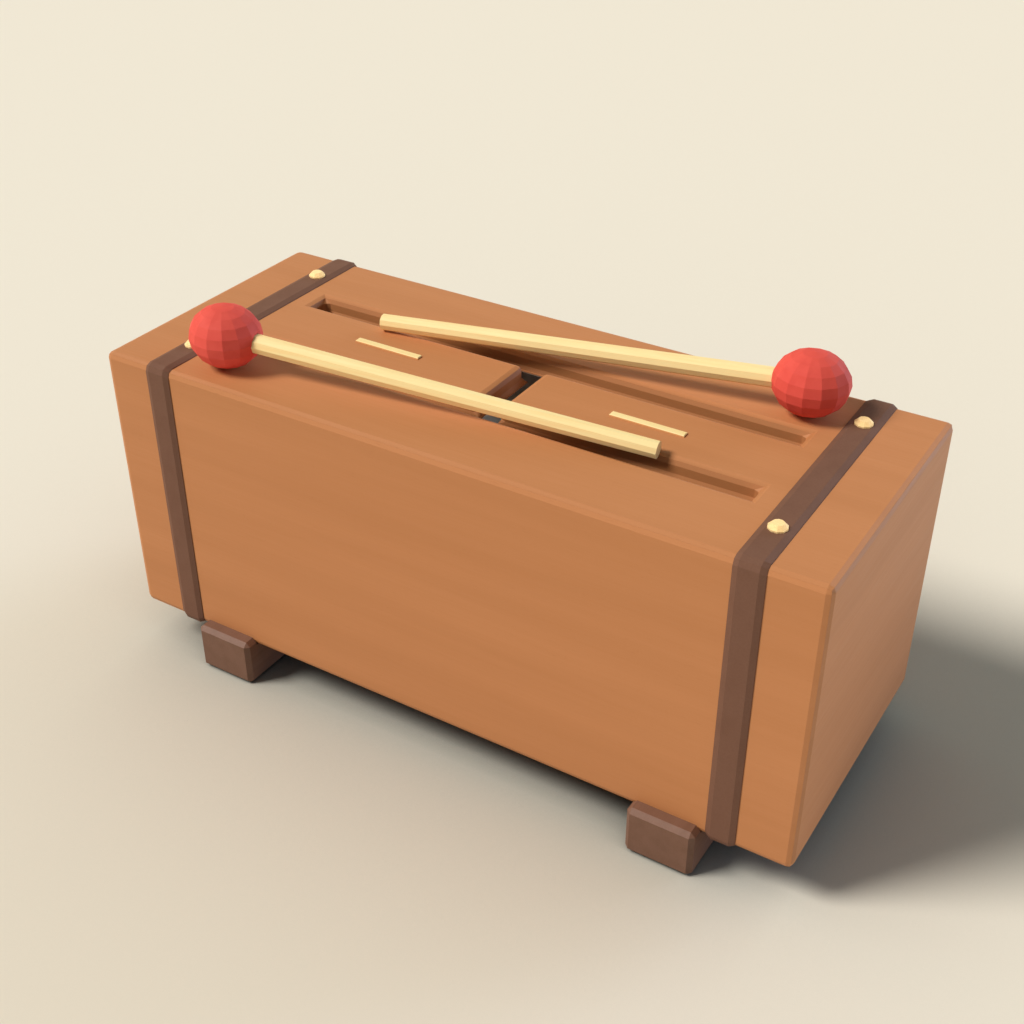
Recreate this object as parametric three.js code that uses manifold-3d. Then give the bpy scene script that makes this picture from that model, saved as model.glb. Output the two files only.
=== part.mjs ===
// A two-tongue log drum: a closed box of mitred boards whose top is cut by an H of slots, two leather
// straps held with flat-crowned tacks, a pale inlay on each tongue, two saddle feet and a pair of mallets.
// Millimetres, +Z up. X runs along the drum, and the player sits at -Y. The origin is on the floor,
// at the middle of the feet.

import * as THREE from 'three';
import { mergeVertices } from 'three/addons/utils/BufferGeometryUtils.js';
import { ConvexGeometry } from 'three/addons/geometries/ConvexGeometry.js';
import { LoftGeometry } from 'three/addons/geometries/LoftGeometry.js';
import { RoundedBoxGeometry } from 'three/addons/geometries/RoundedBoxGeometry.js';
import Module from 'manifold-3d';

const wasm = await Module();
wasm.setup();

// Driving dimensions: the box
const boxLength = 300;
const boxWidth = 120;
const boxHeight = 120;
const boardThickness = 8;
const edgeRounding = 2.4;
const glueLine = 0.02;

// The slots that free the tongues
const slotWidth = 9;
const slotSpacing = 42;
const slotEndInset = 42;
const crossGapWidth = 9.6;
const slotRounding = 2.4;
const slotLip = 1;

// The inlays
const inlayLength = 30;
const inlayWidth = 3;
const inlayProud = 0.75;
const inlayDepth = 1.5;
const inlayEasing = 0.25;
const inlayFromCentre = 57;

// The straps
const strapInset = 27;
const strapTopWidth = 7.2;
const strapThickness = 1.2;
const strapRounding = 3;
const strapSeat = 0.05;
const strapEndGap = 1;

// The tacks
const tackRadius = 3.5;
const tackHeight = 2;
const tackRimHeight = 0.6;
const tackCrownRadius = 2.1;
const tackSeat = 0.02;
const tackShankRadius = 0.8;
const tackBite = 5.5;
const tackPoint = 1.6;
const tackHoleFit = 0.12;
const tackInset = 21;
const lowerTackFromEnd = 9;

// The feet
const floorGap = 18;
const saddleDepth = 3;
const saddleFit = 0.05;
const footWidth = 27;
const footOverhang = 6;
const footChamfer = 1.8;
const footInset = 48;

// The foot screws
const screwHeadRadius = 3.6;
const screwShankRadius = 1.75;
const screwRim = 0.4;
const screwCone = 2.2;
const screwSink = 0.6;
const screwBite = 5.6;
const screwPoint = 2.4;
const screwFit = 0.12;
const screwInset = 26;
const driveWidth = 0.9;
const driveLength = 4.4;
const driveDepth = 1.3;

// The mallets
const headLength = 29;
const headWidth = 26.4;
const headHeight = 24.8;
const stickReach = 173.2;
const stickHeadRadius = 3.9;
const stickEndRadius = 3.3;
const stickPastCentre = 5;
const boreFit = 0.15;
const headRest = 0.1;
const stickRest = 0.3;
const frontHeadInset = 48.85;
const frontStickOverhang = 0.97;
const frontHeading = THREE.MathUtils.degToRad(8.5);
const backHeadInset = 47.7;
const backStickInset = 3.26;
const backHeading = THREE.MathUtils.degToRad(8.2);

// How finely the round forms are cut
const roundSteps = 2;
const headMeridians = 14;
const headRings = 10;
const stickSides = 10;
const tackMeridians = 10;
const screwSides = 12;

// How far a cutter runs past the face it cuts, and how close two points count as one
const overrun = 2;
const weldDistance = 0.0001;

// Places that several pieces share
const quarterTurn = Math.PI / 2;
const midCos = Math.cos(quarterTurn / 2);
const midInset = 1 - midCos;
const boxTop = boxHeight / 2;
const boxMiddle = floorGap + boxTop;
const tongueWall = slotSpacing / 2 - slotWidth / 2;

// A closed three.js geometry as a solid that can be cut and joined
function toSolid(geometry) {
  const bare = new THREE.BufferGeometry().copy(geometry);
  bare.deleteAttribute('normal');
  bare.deleteAttribute('uv');
  const welded = mergeVertices(bare, weldDistance);
  const order = welded.index.array;
  const triangles = [];
  for (let i = 0; i < order.length; i += 3) {
    const [a, b, c] = order.slice(i, i + 3);
    if (a !== b && b !== c && c !== a) {
      triangles.push(a, b, c);
    }
  }
  return new wasm.Manifold(new wasm.Mesh({
    numProp: 3,
    vertProperties: Float32Array.from(welded.attributes.position.array),
    triVerts: Uint32Array.from(triangles),
  }));
}

// The solid as a three.js geometry again
function toGeometry(solid) {
  const mesh = solid.getMesh();
  const geometry = new THREE.BufferGeometry();
  geometry.setAttribute('position', new THREE.BufferAttribute(mesh.vertProperties, mesh.numProp));
  geometry.setIndex(new THREE.BufferAttribute(mesh.triVerts, 1));
  return geometry;
}

function piece(name, geometry, material) {
  const mesh = new THREE.Mesh(geometry, material.clone());
  mesh.name = name;
  return mesh;
}

function finish(color, roughness, metalness) {
  return new THREE.MeshStandardMaterial({ color, roughness, metalness, flatShading: true });
}

const drumWood = finish('#c58356', 0.6, 0);
const footWood = finish('#765543', 0.65, 0);
const paleWood = finish('#ffdf9e', 0.5, 0);
const leather = finish('#7a5643', 0.75, 0);
const tackMetal = finish('#f4d38c', 0.35, 1);
const screwSteel = finish('#9a9a96', 0.35, 1);
const headRubber = finish('#d5372c', 0.55, 0);

// A closed outline, counterclockwise, whose square corners are rounded in two straight steps. The outset
// moves the whole outline outwards; inner corners, which turn to the right, have a rounding of their own.
function roundedOutline(corners, outset, rounding, innerRounding) {
  return corners.flatMap((corner, i) => {
    const before = corners[(i + corners.length - 1) % corners.length];
    const after = corners[(i + 1) % corners.length];
    const arriving = corner.clone().sub(before).normalize();
    const leaving = after.clone().sub(corner).normalize();
    const turn = Math.sign(arriving.cross(leaving));
    const radius = turn > 0 ? rounding : innerRounding;
    const back = radius - turn * outset;
    const centre = corner.clone().addScaledVector(arriving, -back).addScaledVector(leaving, back);
    return Array.from({ length: roundSteps + 1 }, (_, step) => {
      const sweep = quarterTurn * step / roundSteps;
      const point = centre.clone().addScaledVector(leaving, -radius * Math.cos(sweep));
      return point.addScaledVector(arriving, radius * Math.sin(sweep));
    });
  });
}

// The box: six boards of one thickness, mitred along all twelve edges, whose outer edges are rounded
// after gluing. Each board is the part of the rounded block that lies within its own wedge.
const box = new THREE.Group();
box.position.z = boxMiddle;

const half = new THREE.Vector3(boxLength / 2, boxWidth / 2, boxHeight / 2);
const block = toSolid(new RoundedBoxGeometry(boxLength, boxWidth, boxHeight, roundSteps / 2, edgeRounding));

function mitredBoard(normal, side) {
  const setback = glueLine * Math.SQRT1_2;
  const corners = [];
  for (const depth of [-overrun, boardThickness]) {
    for (const first of [-1, 1]) {
      for (const second of [-1, 1]) {
        const signs = [first, second];
        const corner = new THREE.Vector3();
        for (const axis of ['x', 'y', 'z']) {
          if (axis === normal) {
            corner[axis] = side * (half[axis] - depth);
          } else {
            corner[axis] = signs.pop() * (half[axis] - depth - setback);
          }
        }
        corners.push(corner);
      }
    }
  }
  return block.intersect(toSolid(new ConvexGeometry(corners)));
}

// The H: a long slot on each side of the tongues and a gap across between their tips
const slotEnd = boxLength / 2 - slotEndInset;
const slotOuter = tongueWall + slotWidth;
const gapHalf = crossGapWidth / 2;
const slotCorners = [
  [-slotEnd, -slotOuter], [slotEnd, -slotOuter], [slotEnd, -tongueWall], [gapHalf, -tongueWall],
  [gapHalf, tongueWall], [slotEnd, tongueWall], [slotEnd, slotOuter], [-slotEnd, slotOuter],
  [-slotEnd, tongueWall], [-gapHalf, tongueWall], [-gapHalf, -tongueWall], [-slotEnd, -tongueWall],
].map(([x, y]) => new THREE.Vector2(x, y));

// The slots from the underside up: a thin lip, a cove, a plain wall and a rounded top edge. The plain wall
// has rounded corners; the lip and the top edge run to mitred ones.
function slotVoid() {
  const lipShare = (slotLip / slotRounding - midInset) / midCos;
  const midRounding = slotRounding * midCos;
  const levels = [
    [-boardThickness - overrun, -slotLip, 0, 0],
    [-boardThickness + slotRounding * midInset * (1 - lipShare), -slotLip, 0, 0],
    [-boardThickness + slotRounding * midInset, -slotRounding * midInset, midRounding, 0],
    [-boardThickness + slotRounding, 0, slotRounding, slotRounding],
    [-slotRounding, 0, slotRounding, slotRounding],
    [-slotRounding * midInset, slotRounding * midInset, 0, midRounding],
    [0, slotRounding, 0, 0],
    [overrun, slotRounding, 0, 0],
  ];
  const sections = levels.map(([height, outset, endRounding, tipRounding]) => (
    roundedOutline(slotCorners, outset, endRounding, tipRounding)
      .map((point) => new THREE.Vector3(point.x, point.y, boxTop + height))));
  return toSolid(new LoftGeometry(sections, { capStart: true, capEnd: true }));
}

// A straight hole along Z between two heights, cut with the same number of sides as what fills it
function holeAlongZ(radius, sides, x, y, low, high) {
  const hole = new THREE.CylinderGeometry(radius, radius, high - low, sides);
  hole.rotateX(quarterTurn);
  hole.translate(x, y, (low + high) / 2);
  return toSolid(hole);
}

const strapPlaces = [
  { side: 'left', x: -boxLength / 2 + strapInset },
  { side: 'right', x: boxLength / 2 - strapInset },
];
const upperTackPlaces = [
  { side: 'front', y: -boxWidth / 2 + tackInset },
  { side: 'back', y: boxWidth / 2 - tackInset },
];
const lowerTackPlaces = [
  { side: 'front', y: -lowerTackFromEnd },
  { side: 'back', y: lowerTackFromEnd },
];
const footPlaces = [
  { side: 'left', x: -boxLength / 2 + footInset },
  { side: 'right', x: boxLength / 2 - footInset },
];
const screwPlaces = [
  { side: 'front', y: -boxWidth / 2 + screwInset },
  { side: 'back', y: boxWidth / 2 - screwInset },
];
const inlayPlaces = [
  { side: 'left', x: -inlayFromCentre },
  { side: 'right', x: inlayFromCentre },
];

let topBoard = mitredBoard('z', 1).subtract(slotVoid());
for (const inlay of inlayPlaces) {
  const pocket = new THREE.BoxGeometry(
    inlayLength + 2 * glueLine, inlayWidth + 2 * glueLine, inlayDepth + glueLine + overrun);
  pocket.translate(inlay.x, 0, boxTop + (overrun - inlayDepth - glueLine) / 2);
  topBoard = topBoard.subtract(toSolid(pocket));
}
const tackHoleRadius = tackShankRadius + tackHoleFit;
const tackHoleDepth = tackBite + tackHoleFit;
for (const strap of strapPlaces) {
  for (const tack of upperTackPlaces) {
    topBoard = topBoard.subtract(holeAlongZ(
      tackHoleRadius, tackMeridians, strap.x, tack.y, boxTop - tackHoleDepth, boxTop + overrun));
  }
}

let bottomBoard = mitredBoard('z', -1);
for (const strap of strapPlaces) {
  for (const tack of lowerTackPlaces) {
    bottomBoard = bottomBoard.subtract(holeAlongZ(
      tackHoleRadius, tackMeridians, strap.x, tack.y, -boxTop - overrun, -boxTop + tackHoleDepth));
  }
}
for (const foot of footPlaces) {
  for (const screw of screwPlaces) {
    bottomBoard = bottomBoard.subtract(holeAlongZ(
      screwShankRadius + screwFit, screwSides, foot.x, screw.y,
      -boxTop - overrun, -boxTop + screwBite + screwFit));
  }
}

box.add(
  piece('top_board', toGeometry(topBoard), drumWood),
  piece('bottom_board', toGeometry(bottomBoard), drumWood),
  piece('front_board', toGeometry(mitredBoard('y', -1)), drumWood),
  piece('back_board', toGeometry(mitredBoard('y', 1)), drumWood),
  piece('left_end_board', toGeometry(mitredBoard('x', -1)), drumWood),
  piece('right_end_board', toGeometry(mitredBoard('x', 1)), drumWood),
);

// The inlays: a pale strip glued into a pocket on each tongue, standing a little proud, its edges eased
for (const inlay of inlayPlaces) {
  const levels = [[-inlayDepth, 0], [inlayProud - inlayEasing, 0], [inlayProud, inlayEasing]];
  const corners = levels.flatMap(([height, inset]) => [-1, 1].flatMap((along) => [-1, 1].map((across) => (
    new THREE.Vector3(along * (inlayLength / 2 - inset), across * (inlayWidth / 2 - inset), height)))));
  const strip = new ConvexGeometry(corners);
  strip.translate(inlay.x, 0, boxTop);
  box.add(piece(`${inlay.side}_inlay`, strip, paleWood));
}

// The straps: one band of leather each, thinned at its edges, whose ends meet under the box
const boxSection = [[-1, -1], [1, -1], [1, 1], [-1, 1]]
  .map(([y, z]) => new THREE.Vector2(y * boxWidth / 2, z * boxHeight / 2));

function strapSection(x, outset) {
  const extraRounding = (strapRounding - edgeRounding) * outset / strapThickness;
  return roundedOutline(boxSection, outset, edgeRounding + extraRounding, 0)
    .map((point) => new THREE.Vector3(x, point.x, point.y));
}

function strap(x) {
  const shoulder = strapTopWidth / 2;
  const lipOutset = Math.max(strapThickness - strapRounding * midInset, strapSeat);
  const lip = shoulder + (strapThickness - lipOutset) * midCos / midInset;
  const rim = lip + lipOutset * midInset / midCos;
  const outside = [
    [-rim, 0], [-lip, lipOutset], [-shoulder, strapThickness],
    [shoulder, strapThickness], [lip, lipOutset], [rim, 0],
  ];
  const inside = [-rim - overrun, rim + overrun];
  let band = toSolid(new LoftGeometry(
    outside.map(([across, outset]) => strapSection(x + across, outset)), { capStart: true, capEnd: true }));
  band = band.subtract(toSolid(new LoftGeometry(
    inside.map((across) => strapSection(x + across, strapSeat)), { capStart: true, capEnd: true })));
  const slit = new THREE.BoxGeometry(2 * (rim + overrun), strapEndGap, 2 * (strapThickness + overrun));
  slit.translate(x, 0, -boxTop);
  band = band.subtract(toSolid(slit));
  for (const tack of upperTackPlaces) {
    band = band.subtract(holeAlongZ(
      tackHoleRadius, tackMeridians, x, tack.y, boxTop - overrun, boxTop + strapThickness + overrun));
  }
  for (const tack of lowerTackPlaces) {
    band = band.subtract(holeAlongZ(
      tackHoleRadius, tackMeridians, x, tack.y, -boxTop - strapThickness - overrun, -boxTop + overrun));
  }
  return toGeometry(band);
}

// A tack: a low head with a flat crown on a pointed shank, with the strap's outer face at height zero
function tackShape() {
  const shankEnd = strapThickness + tackBite;
  const profile = [
    new THREE.Vector2(0, -shankEnd),
    new THREE.Vector2(tackShankRadius, -shankEnd + tackPoint),
    new THREE.Vector2(tackShankRadius, tackSeat),
    new THREE.Vector2(tackRadius, tackSeat),
    new THREE.Vector2(tackRadius, tackRimHeight),
    new THREE.Vector2(tackCrownRadius, tackHeight),
    new THREE.Vector2(0, tackHeight),
  ];
  const tack = new THREE.LatheGeometry(profile, tackMeridians);
  tack.rotateX(quarterTurn);
  tack.rotateZ(quarterTurn);
  return toGeometry(toSolid(tack));
}

for (const place of strapPlaces) {
  box.add(piece(`${place.side}_strap`, strap(place.x), leather));
  for (const tack of upperTackPlaces) {
    const upper = piece(`${place.side}_${tack.side}_tack`, tackShape(), tackMetal);
    upper.position.set(place.x, tack.y, boxTop + strapThickness);
    box.add(upper);
  }
  for (const tack of lowerTackPlaces) {
    const lower = piece(`${place.side}_${tack.side}_lower_tack`, tackShape(), tackMetal);
    lower.position.set(place.x, tack.y, -boxTop - strapThickness);
    lower.rotation.x = Math.PI;
    box.add(lower);
  }
}

// The feet: chamfered bars across the drum, notched so that the box sits down into them
function chamferedBar(width, length, height, chamfer) {
  const points = [];
  for (const x of [-width / 2, width / 2]) {
    for (const y of [-length / 2, length / 2]) {
      for (const z of [0, height]) {
        const inX = x - Math.sign(x) * chamfer;
        const inY = y - Math.sign(y) * chamfer;
        const inZ = z === 0 ? chamfer : height - chamfer;
        points.push(
          new THREE.Vector3(x, inY, inZ), new THREE.Vector3(inX, y, inZ), new THREE.Vector3(inX, inY, z));
      }
    }
  }
  return toSolid(new ConvexGeometry(points));
}

// A foot screw seen as a turned profile, standing point up; the fit widens it into its own hole
function screwProfile(fit, low, high) {
  const rimTop = screwSink + screwRim + fit;
  return new THREE.LatheGeometry([
    new THREE.Vector2(0, low),
    new THREE.Vector2(screwHeadRadius + fit, low),
    new THREE.Vector2(screwHeadRadius + fit, rimTop),
    new THREE.Vector2(screwShankRadius + fit, rimTop + screwCone),
    new THREE.Vector2(screwShankRadius + fit, high - screwPoint),
    new THREE.Vector2(0, high),
  ], screwSides).rotateX(quarterTurn);
}

function footShape() {
  let bar = chamferedBar(footWidth, boxWidth + 2 * footOverhang, floorGap + saddleDepth, footChamfer);
  const notch = new THREE.BoxGeometry(
    footWidth + 2 * overrun, boxWidth + 2 * saddleFit, saddleDepth + saddleFit + overrun);
  notch.translate(0, 0, floorGap + (saddleDepth - saddleFit + overrun) / 2);
  bar = bar.subtract(toSolid(notch));
  for (const screw of screwPlaces) {
    const hole = screwProfile(screwFit, -overrun, floorGap + saddleDepth + screwPoint);
    hole.translate(0, screw.y, 0);
    bar = bar.subtract(toSolid(hole));
  }
  return toGeometry(bar);
}

// The screw head carries a plain cross recess
function screwShape() {
  let screw = toSolid(screwProfile(0, screwSink, floorGap + screwBite));
  for (const turn of [0, quarterTurn]) {
    const recess = new THREE.BoxGeometry(driveLength, driveWidth, 2 * driveDepth);
    recess.rotateZ(turn);
    recess.translate(0, 0, screwSink);
    screw = screw.subtract(toSolid(recess));
  }
  return toGeometry(screw);
}

const drum = new THREE.Group();
drum.add(box);
for (const place of footPlaces) {
  const foot = piece(`${place.side}_foot`, footShape(), footWood);
  foot.position.x = place.x;
  drum.add(foot);
  for (const screw of screwPlaces) {
    const fastener = piece(`${place.side}_${screw.side}_foot_screw`, screwShape(), screwSteel);
    fastener.position.set(place.x, screw.y, 0);
    drum.add(fastener);
  }
}

// The mallets: a ten-sided tapering stick glued into an egg-shaped head. In a mallet's own frame the
// head is at the origin and the stick runs along +X, sloping down to its free end.
function stickShape(extraRadius, extraDepth) {
  const start = -stickPastCentre - extraDepth;
  const length = stickReach - start;
  const taper = (stickEndRadius - stickHeadRadius) / stickReach;
  const startRadius = stickHeadRadius + taper * start + extraRadius;
  const stick = new THREE.CylinderGeometry(stickEndRadius + extraRadius, startRadius, length, stickSides);
  stick.rotateZ(-quarterTurn);
  stick.rotateX(Math.PI / stickSides);
  stick.translate(start + length / 2, 0, 0);
  return stick;
}

function headShape(slope) {
  const egg = new THREE.SphereGeometry(1, headMeridians, headRings);
  egg.rotateX(quarterTurn);
  egg.rotateZ(quarterTurn);
  egg.scale(headLength / 2, headWidth / 2, headHeight / 2);
  const bore = stickShape(boreFit, boreFit);
  bore.rotateY(slope);
  return toGeometry(toSolid(egg).subtract(toSolid(bore)));
}

// A stick lies on one of its flats on the top, or on the next flat where its free end hangs over a
// long slot and leans on the middle line of the tongue's rounded edge.
const stickFlat = stickEndRadius * Math.cos(Math.PI / stickSides) + stickRest;
const deckHeight = floorGap + boxHeight;
const edgeLine = tongueWall - slotRounding * midInset;
const flatTurn = 2 * Math.PI / stickSides;

function stickEndHeight(alongDrum, acrossDrum) {
  const onTop = deckHeight + stickFlat;
  if (alongDrum > slotEnd - stickEndRadius) {
    return onTop;
  }
  const pastEdge = acrossDrum - edgeLine;
  const onEdge = deckHeight - slotRounding * midInset
    + (stickFlat - pastEdge * Math.sin(flatTurn)) / Math.cos(flatTurn);
  return Math.min(onTop, onEdge);
}

function mallet(name, headX, endY, heading) {
  const headCentre = deckHeight + headRest + headHeight / 2;
  const endX = headX + stickReach * Math.cos(heading);
  const slope = Math.asin((headCentre - stickEndHeight(Math.abs(endX), Math.abs(endY))) / stickReach);
  const reach = stickReach * Math.cos(slope);
  const group = new THREE.Group();
  group.position.set(headX, endY - reach * Math.sin(heading), headCentre);
  group.rotation.z = heading;
  const stick = piece(`${name}_stick`, stickShape(0, 0), paleWood);
  stick.rotation.y = slope;
  group.add(stick, piece(`${name}_head`, headShape(slope), headRubber));
  return group;
}

drum.add(
  mallet('front_mallet', -boxLength / 2 + frontHeadInset, -tongueWall - frontStickOverhang, frontHeading),
  mallet('back_mallet', boxLength / 2 - backHeadInset, tongueWall - backStickInset, Math.PI + backHeading),
);

export default drum;
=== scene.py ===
# A two-tongue log drum with its pair of mallets, dressed and lit. Metres, +Z up. X runs along the drum,
# the player sits at -Y, and the origin is on the floor at the middle of the feet.
import math

import bmesh
import bpy
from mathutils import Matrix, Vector


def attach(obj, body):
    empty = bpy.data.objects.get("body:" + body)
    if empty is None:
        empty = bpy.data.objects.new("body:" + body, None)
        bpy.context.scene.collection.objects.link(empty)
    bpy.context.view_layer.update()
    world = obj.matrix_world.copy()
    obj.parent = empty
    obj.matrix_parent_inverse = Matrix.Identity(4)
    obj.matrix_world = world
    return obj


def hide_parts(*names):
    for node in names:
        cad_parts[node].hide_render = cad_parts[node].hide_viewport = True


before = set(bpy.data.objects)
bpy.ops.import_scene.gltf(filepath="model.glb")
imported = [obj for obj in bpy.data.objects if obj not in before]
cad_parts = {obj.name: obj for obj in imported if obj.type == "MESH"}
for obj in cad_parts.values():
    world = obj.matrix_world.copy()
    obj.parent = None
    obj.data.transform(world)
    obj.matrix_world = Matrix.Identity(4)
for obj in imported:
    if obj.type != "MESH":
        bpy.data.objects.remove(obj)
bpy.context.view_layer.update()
MM = 0.001

# The picture: a camera above the right front corner that looks down on the drum. Its place and angles were
# fitted to the drum's own edges.
CAMERA_PLACE = Vector((247.97, -401.95, 389.89)) * MM
CAMERA_DOWN = math.radians(33.165)
CAMERA_TURN = math.radians(31.677)
CAMERA_LENS = 50
CAMERA_SENSOR = 36
CAMERA_NEAR = 10 * MM
bpy.ops.object.camera_add(location=CAMERA_PLACE, rotation=(math.pi / 2 - CAMERA_DOWN, 0, CAMERA_TURN))
camera = bpy.context.object
camera.data.lens = CAMERA_LENS
camera.data.sensor_width = CAMERA_SENSOR
camera.data.clip_start = CAMERA_NEAR
bpy.context.scene.camera = camera
bpy.context.scene.view_settings.view_transform = "Standard"


# The ground: a sheet of painted card, cream and dead matt, larger than the view, flat under the feet. Its paint
# carries painted shade: it deepens where the drum closes off the open air above it, by a power for red, green
# and blue, so that the shadow under the drum is a plain grey.
CARD_SIZE = 8.0
CARD_CREAM = "#F4E9D6"
CARD_SHADE_POWERS = (0.88, 0.82, 0.79)
CARD_AIR_REACH = 1.0
CARD_AIR_RAYS = 16
MIX_SHARE, MIX_FIRST, MIX_SECOND = 0, 6, 7


def linear(hex_colour):
    """An sRGB hex colour as a linear colour."""
    levels = [int(hex_colour[i:i + 2], 16) / 255 for i in (1, 3, 5)]
    return (*(v / 12.92 if v <= 0.04045 else ((v + 0.055) / 1.055) ** 2.4 for v in levels), 1)


def add(tree, kind, inputs=None, **settings):
    """One shader node. Settings are its own options; inputs give each socket a value or what feeds it."""
    made = tree.nodes.new("ShaderNode" + kind)
    for name, value in settings.items():
        setattr(made, name, value)
    for socket, value in (inputs or {}).items():
        if isinstance(value, bpy.types.NodeSocket):
            tree.links.new(value, made.inputs[socket])
        else:
            made.inputs[socket].default_value = value
    return made


def blank_material(name):
    """A material with nothing in it, and its node tree."""
    material = bpy.data.materials.new(name)
    material.use_nodes = True
    material.node_tree.nodes.clear()
    return material, material.node_tree


def coat(tree, inputs):
    """Ends a material in its surface."""
    shader = add(tree, "BsdfPrincipled", inputs)
    add(tree, "OutputMaterial", {"Surface": shader.outputs["BSDF"]})


card_paint, tree = blank_material("painted_card")
# Painted shade: the cream is darkened where the drum closes off the open air
open_air = add(tree, "AmbientOcclusion", {"Distance": CARD_AIR_REACH}, samples=CARD_AIR_RAYS).outputs["AO"]
shades = [
    add(tree, "Math", {0: open_air, 1: power}, operation="POWER").outputs[0] for power in CARD_SHADE_POWERS]
shade = add(tree, "CombineColor", dict(enumerate(shades)))
paint = add(
    tree, "Mix", {MIX_SHARE: 1.0, MIX_FIRST: linear(CARD_CREAM), MIX_SECOND: shade.outputs[0]},
    data_type="RGBA", blend_type="MULTIPLY")
coat(tree, {"Base Color": paint.outputs[2], "Roughness": 1.0, "Specular IOR Level": 0.0})
bpy.ops.mesh.primitive_plane_add(size=CARD_SIZE)
card = bpy.context.object
card.name = "card"
card.data.materials.append(card_paint)


# The light: a broad key lamp over the player's left shoulder, a low cool one off the right end, two weak ones
# from behind and in front, and faint air light from all round. Together they light a level surface at about
# full strength. The backdrop is the same cream as the card, to the camera and in what metal mirrors.
AIR_TINT = "#E8F6D8"
AIR_STRENGTH = 0.08
BACKDROP_STRENGTH = 1.0
LAMPS = {
    "key_lamp": {"from": 221, "height": 47, "spread": 20, "strength": 3.35, "tint": "#FFFDFA"},
    "right_lamp": {"from": 58, "height": 9, "spread": 30, "strength": 2.3, "tint": "#CEE1FF"},
    "back_lamp": {"from": 120, "height": 40, "spread": 80, "strength": 0.2, "tint": "#EFF4D8"},
    "front_lamp": {"from": 300, "height": 12, "spread": 80, "strength": 0.38, "tint": "#C0DAFF"},
}
air = bpy.data.worlds.new("studio_air")
air.use_nodes = True
tree = air.node_tree
tree.nodes.clear()
glow = add(tree, "Background", {"Color": linear(AIR_TINT), "Strength": AIR_STRENGTH})
backdrop = add(tree, "Background", {"Color": linear(CARD_CREAM), "Strength": BACKDROP_STRENGTH})
path = add(tree, "LightPath")
seen = add(
    tree, "Math", {0: path.outputs["Is Camera Ray"], 1: path.outputs["Is Glossy Ray"]}, operation="MAXIMUM")
seen = add(tree, "Math", {0: seen.outputs[0], 1: path.outputs["Is Transmission Ray"]}, operation="MAXIMUM")
sky = add(tree, "MixShader", {0: seen.outputs[0], 1: glow.outputs[0], 2: backdrop.outputs[0]})
add(tree, "OutputWorld", {"Surface": sky.outputs[0]})
bpy.context.scene.world = air
for name, lamp in LAMPS.items():
    bpy.ops.object.light_add(
        type="SUN", rotation=(math.radians(90 - lamp["height"]), 0, math.radians(lamp["from"] + 90)))
    made = bpy.context.object
    made.name = name
    made.data.energy = lamp["strength"]
    made.data.color = linear(lamp["tint"])[:3]
    made.data.angle = math.radians(lamp["spread"])


# The six boards of the box: cherry, planed and sanded, its edges rounded after gluing, then oiled outside. The
# long boards have their grain along the drum; the end boards have it across, and are painted a little paler, as
# painted light on the end faces. The slots' walls are painted darker, as painted shade in the slots, and the
# walls of the sound chamber inside are raw.
LONG_CHERRY = ("#C48150", "#BD7B4A")
# Painted light: the end boards are a little paler than the long ones, for the light on the end faces
END_CHERRY_PAINTED_LIGHT = ("#C68658", "#BF8052")
CHERRY_PORE = "#A66235"
# Painted shade: the darker colour of the slots' walls
SLOT_SHADE_CHERRY = "#B27343"
RAW_CHERRY = "#ECE7E2"
CHERRY_FIGURE = (260 * MM, 14 * MM)
CHERRY_FIBRE = (30 * MM, 0.7 * MM)
CHERRY_PORES = (4 * MM, 0.25 * MM)
CHERRY_RELIEF = 0.03 * MM
CHERRY_ROUGHNESS = (0.56, 0.68)
CHERRY_GLOSS = 0.4
CHAMBER_MIDDLE = (0, 0, 78 * MM)
CHAMBER_HALF = (142.05 * MM, 52.05 * MM, 52.05 * MM)
SLOTS_MIDDLE = (0, 0, 133.5 * MM)
SLOTS_HALF = (118 * MM, 34 * MM, 4.4 * MM)
SLOTS_RIM = 0.15
THINNEST_RIM = 0.0001


def grain(tree, turn, size, detail=3.0):
    """Noise drawn out along the grain, of this size along it and across it, and turned about Z."""
    length, width = size
    place = add(tree, "TexCoord").outputs["Object"]
    along = add(
        tree, "Mapping", {"Vector": place, "Rotation": (0, 0, turn), "Scale": (length, width, width)},
        vector_type="TEXTURE")
    noise = add(
        tree, "TexNoise", {"Vector": along.outputs[0], "Scale": 1.0, "Detail": detail, "Roughness": 0.6})
    return noise.outputs["Fac"]


def blend_colours(tree, share, first, second):
    """Goes from the first colour to the second."""
    mix = add(tree, "Mix", {MIX_SHARE: share, MIX_FIRST: first, MIX_SECOND: second}, data_type="RGBA")
    return mix.outputs[2]


def between(tree, value, low, high, out_low=0.0, out_high=1.0):
    """Stretches the part of a value between two limits over another range, and cuts off the rest."""
    ranged = add(tree, "MapRange", {
        "Value": value, "From Min": low, "From Max": high, "To Min": out_low, "To Max": out_high})
    return ranged.outputs[0]


def within(tree, middle, half, rim=0.0):
    """Is 1 inside a box and 0 outside it. Its rim, a share of its half sizes, is where it fades."""
    place = add(tree, "TexCoord").outputs["Object"]
    box = add(tree, "Mapping", {"Vector": place, "Location": middle, "Scale": half}, vector_type="TEXTURE")
    reach = add(tree, "VectorMath", {0: box.outputs[0]}, operation="ABSOLUTE")
    sides = add(tree, "SeparateXYZ", {0: reach.outputs[0]})
    widest = add(tree, "Math", {0: sides.outputs[0], 1: sides.outputs[1]}, operation="MAXIMUM")
    widest = add(tree, "Math", {0: widest.outputs[0], 1: sides.outputs[2]}, operation="MAXIMUM")
    return between(tree, widest.outputs[0], 1.0 - rim, 1.0 + THINNEST_RIM, 1.0, 0.0)


def dress(names, material):
    """Gives CAD pieces their material."""
    for name in names:
        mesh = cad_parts[name].data
        mesh.materials.clear()
        mesh.materials.append(material)


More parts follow.
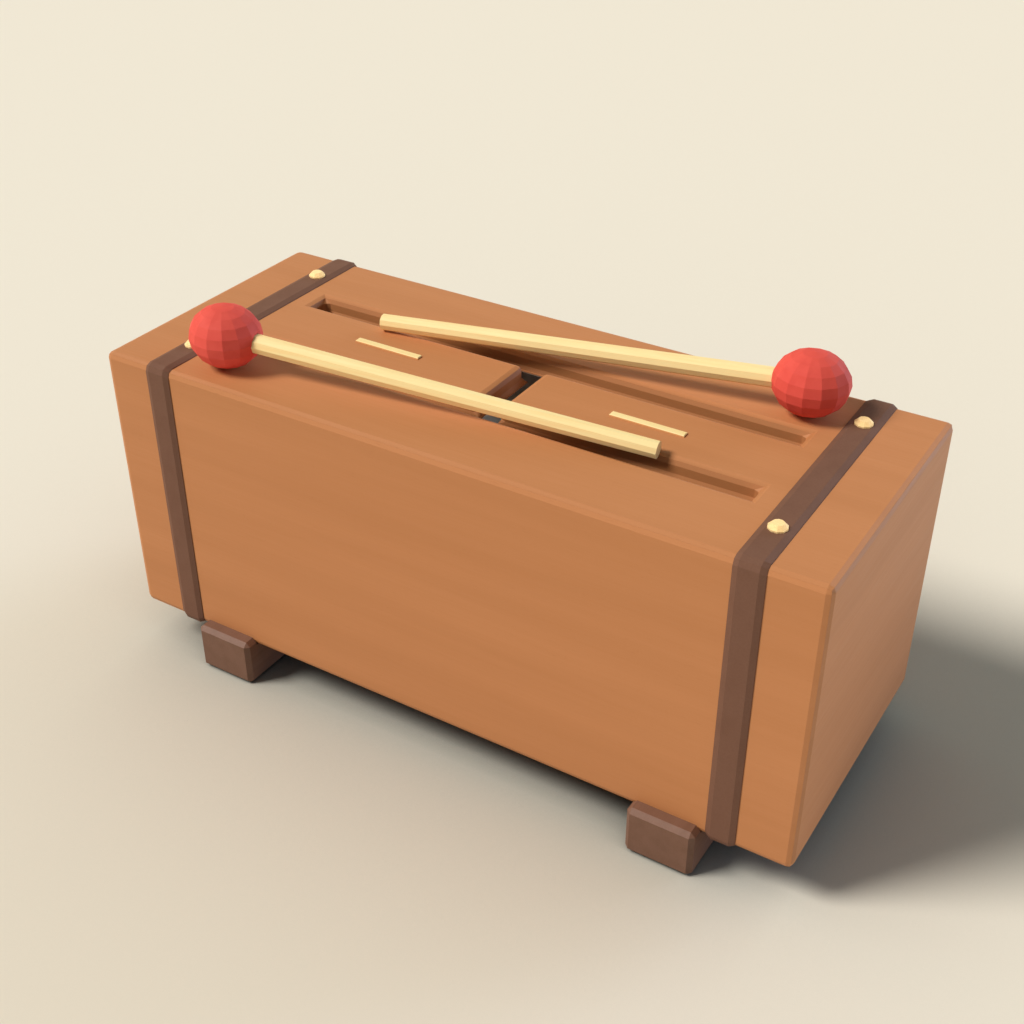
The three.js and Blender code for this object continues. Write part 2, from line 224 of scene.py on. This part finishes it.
# Oiled cherry: faint long figure about 14 mm across, fine fibres under a millimetre, a few short pores
for name, turn, (light, dark), boards in (
        ("oiled_cherry_long", 0.0, LONG_CHERRY, ["top_board", "bottom_board", "front_board", "back_board"]),
        ("oiled_cherry_across", math.pi / 2, END_CHERRY_PAINTED_LIGHT, ["left_end_board", "right_end_board"])):
    cherry, tree = blank_material(name)
    figure = grain(tree, turn, CHERRY_FIGURE, 2.0)
    fibre = grain(tree, turn, CHERRY_FIBRE)
    pores = grain(tree, turn, CHERRY_PORES, 1.0)
    painted_slot_shade = within(tree, SLOTS_MIDDLE, SLOTS_HALF, SLOTS_RIM)
    in_chamber = within(tree, CHAMBER_MIDDLE, CHAMBER_HALF)
    tone = blend_colours(tree, between(tree, figure, 0.3, 0.7), linear(dark), linear(light))
    # Painted shade: inside the slots' box the walls take the darker colour
    tone = blend_colours(tree, painted_slot_shade, tone, linear(SLOT_SHADE_CHERRY))
    fibred = blend_colours(tree, between(tree, fibre, 0.35, 0.75, 0.0, 0.2), tone, linear(dark))
    outside = blend_colours(tree, between(tree, pores, 0.66, 0.74, 0.0, 0.25), fibred, linear(CHERRY_PORE))
    colour = blend_colours(tree, in_chamber, outside, linear(RAW_CHERRY))
    relief = add(tree, "Bump", {"Height": fibre, "Strength": 0.12, "Distance": CHERRY_RELIEF})
    coat(tree, {
        "Base Color": colour, "Roughness": between(tree, fibre, 0.3, 0.7, *CHERRY_ROUGHNESS),
        "Specular IOR Level": CHERRY_GLOSS, "Normal": relief.outputs[0]})
    dress(boards, cherry)


# The inlays: two strips of maple, each glued into a pocket on its tongue with its grain along the drum, then
# scraped and oiled with the box. Each stands a little proud, and the foot of its edge is painted darker, as
# painted shade.
MAPLE_LIGHT = "#FFE6A6"
MAPLE_DARK = "#FFDC98"
# Painted shade: the darker colour at the foot of each inlay's edge
MAPLE_FOOT_SHADE = "#DEA66C"
MAPLE_STREAK = (60 * MM, 2.2 * MM)
MAPLE_FIBRE = (14 * MM, 0.4 * MM)
MAPLE_RELIEF = 0.03 * MM
MAPLE_ROUGHNESS = (0.5, 0.6)
MAPLE_GLOSS = 0.3
INLAY_FOOT = 138.5 * MM
FOOT_FADE = 0.05 * MM


def maple(name, turn, foot=0.0):
    """Oiled maple: even and pale, with fine fibres half a millimetre across and faint longer streaks.

    Below the level of its foot it is painted darker, as painted shade at the foot of its edge.
    """
    made, tree = blank_material(name)
    streak = grain(tree, turn, MAPLE_STREAK, 2.0)
    fibre = grain(tree, turn, MAPLE_FIBRE)
    level = add(tree, "SeparateXYZ", {0: add(tree, "TexCoord").outputs["Object"]})
    in_painted_foot_shade = between(tree, level.outputs["Z"], foot - FOOT_FADE, foot + FOOT_FADE, 1.0, 0.0)
    tone = blend_colours(tree, between(tree, streak, 0.35, 0.7), linear(MAPLE_LIGHT), linear(MAPLE_DARK))
    colour = blend_colours(tree, between(tree, fibre, 0.5, 0.8, 0.0, 0.4), tone, linear(MAPLE_DARK))
    # Painted shade: below the foot level the maple takes the darker colour
    colour = blend_colours(tree, in_painted_foot_shade, colour, linear(MAPLE_FOOT_SHADE))
    relief = add(tree, "Bump", {"Height": fibre, "Strength": 0.15, "Distance": MAPLE_RELIEF})
    coat(tree, {
        "Base Color": colour, "Roughness": between(tree, fibre, 0.3, 0.7, *MAPLE_ROUGHNESS),
        "Specular IOR Level": MAPLE_GLOSS, "Normal": relief.outputs[0]})
    return made


dress(["left_inlay", "right_inlay"], maple("oiled_maple_inlay", 0.0, INLAY_FOOT))


# The straps: one band of vegetable-tanned leather each, skived thin along both edges, wrapped round the box over
# its rounded edges and tacked down; its two ends meet under the box. Modelled here as the soft goods they are.
STRAP_MIDDLE = 123 * MM
STRAP_SHOULDER = 3.6 * MM
STRAP_SKIVE = 2.121 * MM
STRAP_RIM = 0.133 * MM
STRAP_RIM_HEIGHT = 0.321 * MM
STRAP_THICKNESS = 1.2 * MM
STRAP_BEND = 3 * MM
STRAP_SEAT = 0.05 * MM
STRAP_END_GAP = 1 * MM
BOX_HALF = 60 * MM
BOX_MIDDLE = 78 * MM
BOX_ROUNDING = 2.425 * MM
TACK_LINES = (-39 * MM, 39 * MM)
LOWER_TACK_LINES = (-9 * MM, 9 * MM)
TACK_HOLE = 0.92 * MM
TACK_HOLE_SIDES = 16
CUTTER_SPARE = 2 * MM
CUTTER_DEPTH = 6 * MM
HIDE_BROWN = "#765240"
HIDE_DARK = "#6A4837"
HIDE_PEBBLE = 0.7 * MM
HIDE_WEAR = 9 * MM
HIDE_RELIEF = 0.08 * MM
HIDE_ROUGHNESS = (0.62, 0.74)
HIDE_GLOSS = 0.2


def edit(shape, kind, chosen):
    """Goes into edit mode with only the faces or edges selected that pass the test."""
    bpy.context.view_layer.objects.active = shape
    bpy.ops.object.mode_set(mode="EDIT")
    bpy.ops.mesh.select_mode(type=kind)
    bpy.ops.mesh.select_all(action="DESELECT")
    mesh = bmesh.from_edit_mesh(shape.data)
    for part in mesh.faces if kind == "FACE" else mesh.edges:
        part.select_set(chosen(part))
    bmesh.update_edit_mesh(shape.data)


def block(name, middle, size):
    """A block at its place and size, with its own origin at the frame's."""
    bpy.ops.object.select_all(action="DESELECT")
    bpy.ops.mesh.primitive_cube_add(size=1, location=middle, scale=size)
    made = bpy.context.object
    made.name = name
    bpy.ops.object.transform_apply(location=True, rotation=True, scale=True)
    return made


def round_long_edges(shape, rounding):
    """Rounds the edges that run along the drum in two steps."""
    edit(shape, "EDGE", lambda e: abs((e.verts[0].co - e.verts[1].co).normalized().x) > 0.9)
    bpy.ops.mesh.bevel(offset=rounding, segments=2, affect="EDGES")
    bpy.ops.object.mode_set(mode="OBJECT")


def cut_away(shape, cutter):
    """Cuts one shape out of another and deletes the cutter."""
    bpy.context.view_layer.objects.active = shape
    cut = shape.modifiers.new("cut", "BOOLEAN")
    cut.operation = "DIFFERENCE"
    cut.solver = "EXACT"
    cut.object = cutter
    bpy.ops.object.modifier_apply(modifier=cut.name)
    bpy.data.objects.remove(cutter, do_unlink=True)


# Vegetable-tanned leather: pebbled grain about 0.7 mm across, drawn a little coarse so that it shows, darker in
# its valleys and in worn patches
hide, tree = blank_material("veg_tanned_leather")
place = add(tree, "TexCoord").outputs["Object"]
pebbles = add(tree, "TexVoronoi", {"Vector": place, "Scale": 1 / HIDE_PEBBLE}, feature="SMOOTH_F1")
wear = add(tree, "TexNoise", {"Vector": place, "Scale": 1 / HIDE_WEAR, "Detail": 3.0})
valleys = between(tree, pebbles.outputs["Distance"], 0.2, 0.8)
tone = blend_colours(
    tree, between(tree, valleys, 0.0, 1.0, 0.0, 0.35), linear(HIDE_BROWN), linear(HIDE_DARK))
colour = blend_colours(tree, between(tree, wear.outputs["Fac"], 0.45, 0.8, 0.0, 0.3), tone, linear(HIDE_DARK))
relief = add(tree, "Bump", {"Height": valleys, "Strength": 0.2, "Distance": -HIDE_RELIEF})
coat(tree, {
    "Base Color": colour, "Roughness": between(tree, wear.outputs["Fac"], 0.3, 0.7, *HIDE_ROUGHNESS),
    "Specular IOR Level": HIDE_GLOSS, "Normal": relief.outputs[0]})

bottom = BOX_MIDDLE - BOX_HALF
outer = 2 * (BOX_HALF + STRAP_THICKNESS)
inner = 2 * (BOX_HALF + STRAP_SEAT)
cutter_width = 2 * (STRAP_SHOULDER + STRAP_SKIVE + STRAP_RIM + CUTTER_SPARE)
for side, x in (("left", -STRAP_MIDDLE), ("right", STRAP_MIDDLE)):
    band = block(f"{side}_leather_strap", (x, 0, BOX_MIDDLE), (2 * STRAP_SHOULDER, outer, outer))
    round_long_edges(band, STRAP_BEND)
    height = BOX_HALF + STRAP_THICKNESS
    for run, lower in ((STRAP_SKIVE, BOX_HALF + STRAP_RIM_HEIGHT), (STRAP_RIM, BOX_HALF)):
        for way in (-1, 1):
            edit(band, "FACE", lambda f: f.normal.x * way > 0.9)
            bpy.ops.mesh.extrude_region_move(TRANSFORM_OT_translate={"value": (way * run, 0, 0)})
            bpy.ops.transform.resize(
                value=(1, lower / height, lower / height), center_override=(x, 0, BOX_MIDDLE))
            bpy.ops.object.mode_set(mode="OBJECT")
        height = lower
    core = block("core", (x, 0, BOX_MIDDLE), (cutter_width, inner, inner))
    round_long_edges(core, BOX_ROUNDING)
    cut_away(band, core)
    cut_away(band, block("slit", (x, 0, bottom), (cutter_width, STRAP_END_GAP, CUTTER_DEPTH)))
    for lines, z in ((TACK_LINES, BOX_MIDDLE + BOX_HALF), (LOWER_TACK_LINES, bottom)):
        for y in lines:
            bpy.ops.object.select_all(action="DESELECT")
            bpy.ops.mesh.primitive_cylinder_add(
                vertices=TACK_HOLE_SIDES, radius=TACK_HOLE, depth=CUTTER_DEPTH, location=(x, y, z))
            cut_away(band, bpy.context.object)
    band.data.materials.clear()
    band.data.materials.append(hide)
    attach(band, "drum")
    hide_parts(f"{side}_strap")


# The tacks: cast brass with a low, ten-sided, flat-crowned head, pressed through the strap into the box. Satin
# from tumbling, with a faint brush that catches the light.
BRASS = "#E8D3A5"
BRASS_DULL = "#DEC797"
BRASS_BRUSH = 0.5 * MM
BRASS_ROUGHNESS = (0.82, 0.9)
brass, tree = blank_material("satin_brass")
place = add(tree, "TexCoord").outputs["Object"]
brush = add(tree, "TexNoise", {"Vector": place, "Scale": 1 / BRASS_BRUSH, "Detail": 2.0})
colour = blend_colours(
    tree, between(tree, brush.outputs["Fac"], 0.4, 0.8, 0.0, 0.5), linear(BRASS), linear(BRASS_DULL))
coat(tree, {
    "Base Color": colour, "Metallic": 1.0,
    "Roughness": between(tree, brush.outputs["Fac"], 0.3, 0.7, *BRASS_ROUGHNESS)})
dress([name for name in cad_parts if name.endswith("tack")], brass)


# The feet: two bars of walnut across the drum, chamfered all round and notched to hold the box, each fixed with
# two screws from below. Sanded and waxed, with a faint figure 5 mm across and half-millimetre fibres.
WALNUT_LIGHT = "#75513E"
WALNUT_DARK = "#67442F"
WALNUT_FIGURE = (90 * MM, 5 * MM)
WALNUT_FIBRE = (16 * MM, 0.5 * MM)
WALNUT_RELIEF = 0.05 * MM
WALNUT_ROUGHNESS = (0.55, 0.68)
walnut, tree = blank_material("waxed_walnut")
figure = grain(tree, math.pi / 2, WALNUT_FIGURE, 2.0)
fibre = grain(tree, math.pi / 2, WALNUT_FIBRE)
tone = blend_colours(
    tree, between(tree, figure, 0.35, 0.75, 0.0, 0.6), linear(WALNUT_LIGHT), linear(WALNUT_DARK))
colour = blend_colours(tree, between(tree, fibre, 0.5, 0.8, 0.0, 0.4), tone, linear(WALNUT_DARK))
relief = add(tree, "Bump", {"Height": fibre, "Strength": 0.2, "Distance": WALNUT_RELIEF})
coat(tree, {
    "Base Color": colour, "Roughness": between(tree, fibre, 0.3, 0.7, *WALNUT_ROUGHNESS),
    "Normal": relief.outputs[0]})
dress(["left_foot", "right_foot"], walnut)


# The foot screws: countersunk steel wood screws with a cross recess, sunk just below the feet. Zinc plated, so
# a light grey with a cloudy bloom.
ZINC = "#9C9C98"
ZINC_DULL = "#7E7F7D"
ZINC_BLOOM = 1.2 * MM
ZINC_ROUGHNESS = (0.3, 0.45)
zinc, tree = blank_material("zinc_plated_steel")
place = add(tree, "TexCoord").outputs["Object"]
bloom = add(tree, "TexNoise", {"Vector": place, "Scale": 1 / ZINC_BLOOM, "Detail": 2.0})
colour = blend_colours(tree, bloom.outputs["Fac"], linear(ZINC), linear(ZINC_DULL))
coat(tree, {
    "Base Color": colour, "Metallic": 1.0,
    "Roughness": between(tree, bloom.outputs["Fac"], 0.3, 0.7, *ZINC_ROUGHNESS)})
dress([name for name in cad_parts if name.endswith("screw")], zinc)


# The mallets' sticks: maple, planed to ten flats and tapered to the free end, glued into the heads and oiled.
# The grain runs along each stick.
FRONT_STICK_TURN = math.radians(8.5)
BACK_STICK_TURN = math.radians(8.2)
dress(["front_mallet_stick"], maple("oiled_maple_front_stick", FRONT_STICK_TURN))
dress(["back_mallet_stick"], maple("oiled_maple_back_stick", BACK_STICK_TURN))


# The mallets' heads: solid rubber, moulded as a faceted egg and bored for the stick. Matt, a little smoother
# where handling has polished it.
RUBBER_RED = "#E45547"
RUBBER_WORN = "#DE4F42"
RUBBER_HANDLING = 6 * MM
RUBBER_SKIN = 0.5 * MM
RUBBER_RELIEF = 0.04 * MM
RUBBER_ROUGHNESS = (0.7, 0.8)
RUBBER_GLOSS = 0.3
rubber, tree = blank_material("moulded_rubber")
place = add(tree, "TexCoord").outputs["Object"]
handling = add(tree, "TexNoise", {"Vector": place, "Scale": 1 / RUBBER_HANDLING, "Detail": 3.0})
skin = add(tree, "TexNoise", {"Vector": place, "Scale": 1 / RUBBER_SKIN, "Detail": 2.0})
colour = blend_colours(
    tree, between(tree, handling.outputs["Fac"], 0.35, 0.7), linear(RUBBER_RED), linear(RUBBER_WORN))
relief = add(tree, "Bump", {"Height": skin.outputs["Fac"], "Strength": 0.15, "Distance": RUBBER_RELIEF})
coat(tree, {
    "Base Color": colour, "Roughness": between(tree, handling.outputs["Fac"], 0.3, 0.7, *RUBBER_ROUGHNESS),
    "Specular IOR Level": RUBBER_GLOSS, "Normal": relief.outputs[0]})
dress(["front_mallet_head", "back_mallet_head"], rubber)
